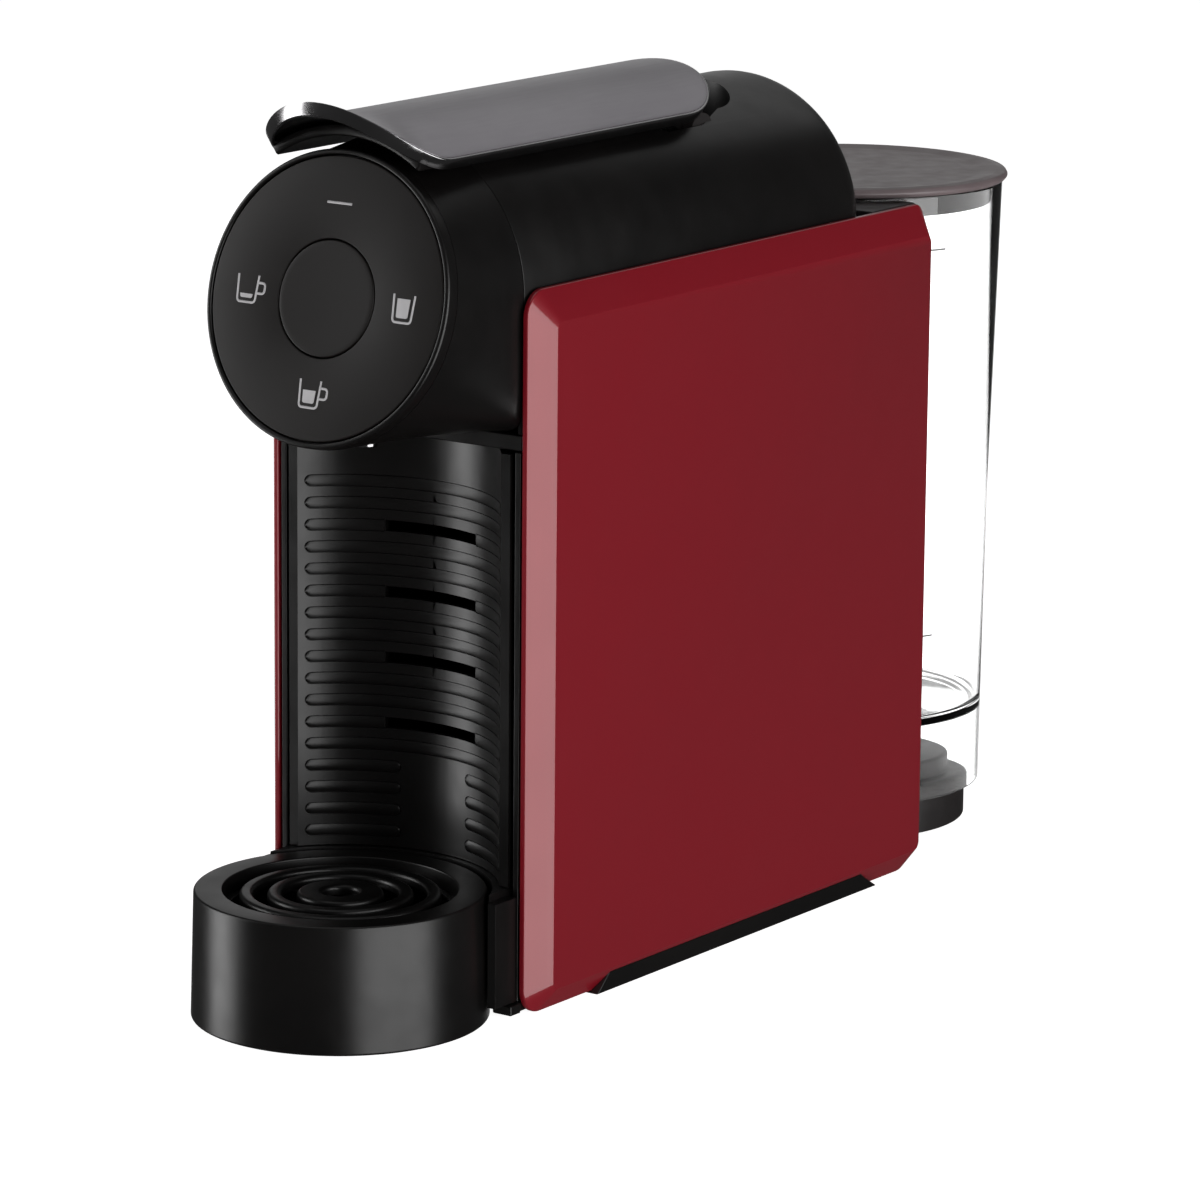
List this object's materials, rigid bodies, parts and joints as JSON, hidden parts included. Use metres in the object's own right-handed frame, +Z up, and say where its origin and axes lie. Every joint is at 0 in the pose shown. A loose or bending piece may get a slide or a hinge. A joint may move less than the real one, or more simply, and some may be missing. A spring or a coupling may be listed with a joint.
{
  "type": "pod coffee machine",
  "caption": "Slim pod coffee machine: round control face, arched lever, ribbed capsule bin, round drip tray and clear rear water tank.",
  "frame": {"origin": "on the table under the middle of the bounding box", "axes": "+X to the right seen from the front, the control face looks along -Y, +Z up"},
  "size_m": [0.116, 0.41, 0.307],
  "materials": {
    "red_panel": "deep red, high gloss with a fine metallic flake",
    "black_satin": "satin black moulding, fine texture",
    "black_gloss": "dark, lightly polished",
    "grid_black": "satin black",
    "lid_satin": "warm dark grey, satin",
    "lever_metal": "satin anodised with polished rim",
    "clear_tank": "clear polycarbonate",
    "grey_plastic": "plain moulded",
    "steel": "bright",
    "chrome": "polished",
    "cast_metal": "as cast",
    "pump_metal": "dark",
    "pump_brass": "turned",
    "board": "solder mask",
    "rubber": "matt"
  },
  "bodies": {
    "housing": {"side_panel_right": "red_panel", "side_panel_left": "red_panel", "chassis_right": "black_satin", "chassis_left": "black_satin", "base_plate": "black_satin", "skid_rails": "rubber", "rubber_feet": "rubber", "case_screws": "steel", "brew_shelf": "black_satin", "rear_wall": "black_satin", "cord_gland": "rubber", "rear_deck": "black_satin", "hood": "black_satin", "slot_liner": "black_satin", "lever_well": "black_satin", "lever_pin": "steel", "brew_frame": "grey_plastic", "brew_cage": "grey_plastic", "capsule_cup": "steel", "injector_needle": "steel", "thermoblock": "cast_metal", "thermostats": "steel", "outlet_chute": "grey_plastic", "spout_tip": "chrome", "head_shell": "black_satin", "bezel_ring": "black_satin", "face_plate": "black_gloss", "button_spring": "steel", "control_board": "board", "light_guides": "grey_plastic", "flow_meter_body": "grey_plastic", "pump_body": "pump_brass", "pump_coil": "pump_metal", "pump_spring": "steel", "pump_mounts": "rubber", "power_board": "board", "suction_hose": "rubber", "pump_hose": "rubber", "pressure_hose": "rubber", "tank_receiver": "black_satin", "socket_seal": "rubber"},
    "lever": {"lever_plate": "lever_metal", "lever_arm": "black_satin", "lever_sectors": "grey_plastic"},
    "yoke": {"brew_yoke": "grey_plastic"},
    "button": {"centre_button": "black_gloss"},
    "pump_piston": {"pump_plunger": "steel"},
    "meter_rotor": {"flow_meter_rotor": "grey_plastic"},
    "tank": {"tank_shell": "clear_tank", "tank_filter": "grey_plastic", "valve_spring": "steel"},
    "tank_valve": {"valve_plunger": "grey_plastic"},
    "lid": {"tank_lid": "lid_satin", "lid_plug": "grey_plastic"},
    "bin": {"bin_front": "black_satin", "capsule_bin": "black_satin", "tray_dock": "black_satin"},
    "tray": {"drip_tray": "black_satin"},
    "grid": {"cup_grid": "grid_black"}
  },
  "joints": [
    {"name": "lever_hinge", "type": "hinge", "parent": "housing", "child": "lever", "pos_m": [0, 0.01, 0.28], "axis": [-1, 0, 0], "range_deg": [0, 70]},
    {"name": "yoke_slide", "type": "slide", "parent": "housing", "child": "yoke", "axis": [0, -1, 0], "range_m": [0, 0.022]},
    {"name": "button_press", "type": "slide", "parent": "housing", "child": "button", "axis": [0, 0.9724, -0.2334], "range_m": [0, 0.0012], "stiffness_N_per_m": 600},
    {"name": "pump_stroke", "type": "slide", "parent": "housing", "child": "pump_piston", "axis": [0, 0, 1], "range_m": [-0.003, 0.003], "stiffness_N_per_m": 1500, "deforming": ["pump_spring"]},
    {"name": "meter_spin", "type": "hinge", "parent": "housing", "child": "meter_rotor", "pos_m": [0, 0.048, 0.015], "axis": [0, 0, 1], "continuous": true},
    {"name": "tank_lift", "type": "slide", "parent": "housing", "child": "tank", "axis": [0, 0, 1], "range_m": [0, 0.25]},
    {"name": "lid_lift", "type": "slide", "parent": "tank", "child": "lid", "axis": [0, 0, 1], "range_m": [0, 0.06]},
    {"name": "tank_valve_lift", "type": "slide", "parent": "tank", "child": "tank_valve", "axis": [0, 0, 1], "range_m": [0, 0.003], "stiffness_N_per_m": 150, "deforming": ["valve_spring"]},
    {"name": "bin_pull", "type": "slide", "parent": "housing", "child": "bin", "axis": [0, -1, 0], "range_m": [0, 0.12]},
    {"name": "tray_pull", "type": "slide", "parent": "bin", "child": "tray", "axis": [0, -1, 0], "range_m": [0, 0.06]},
    {"name": "grid_lift", "type": "slide", "parent": "tray", "child": "grid", "axis": [0, 0, 1], "range_m": [0, 0.05]}
  ],
  "couplings": [
    {"joint": "yoke_slide", "follows": "lever_hinge", "m_per_rad": 0.018}
  ]
}
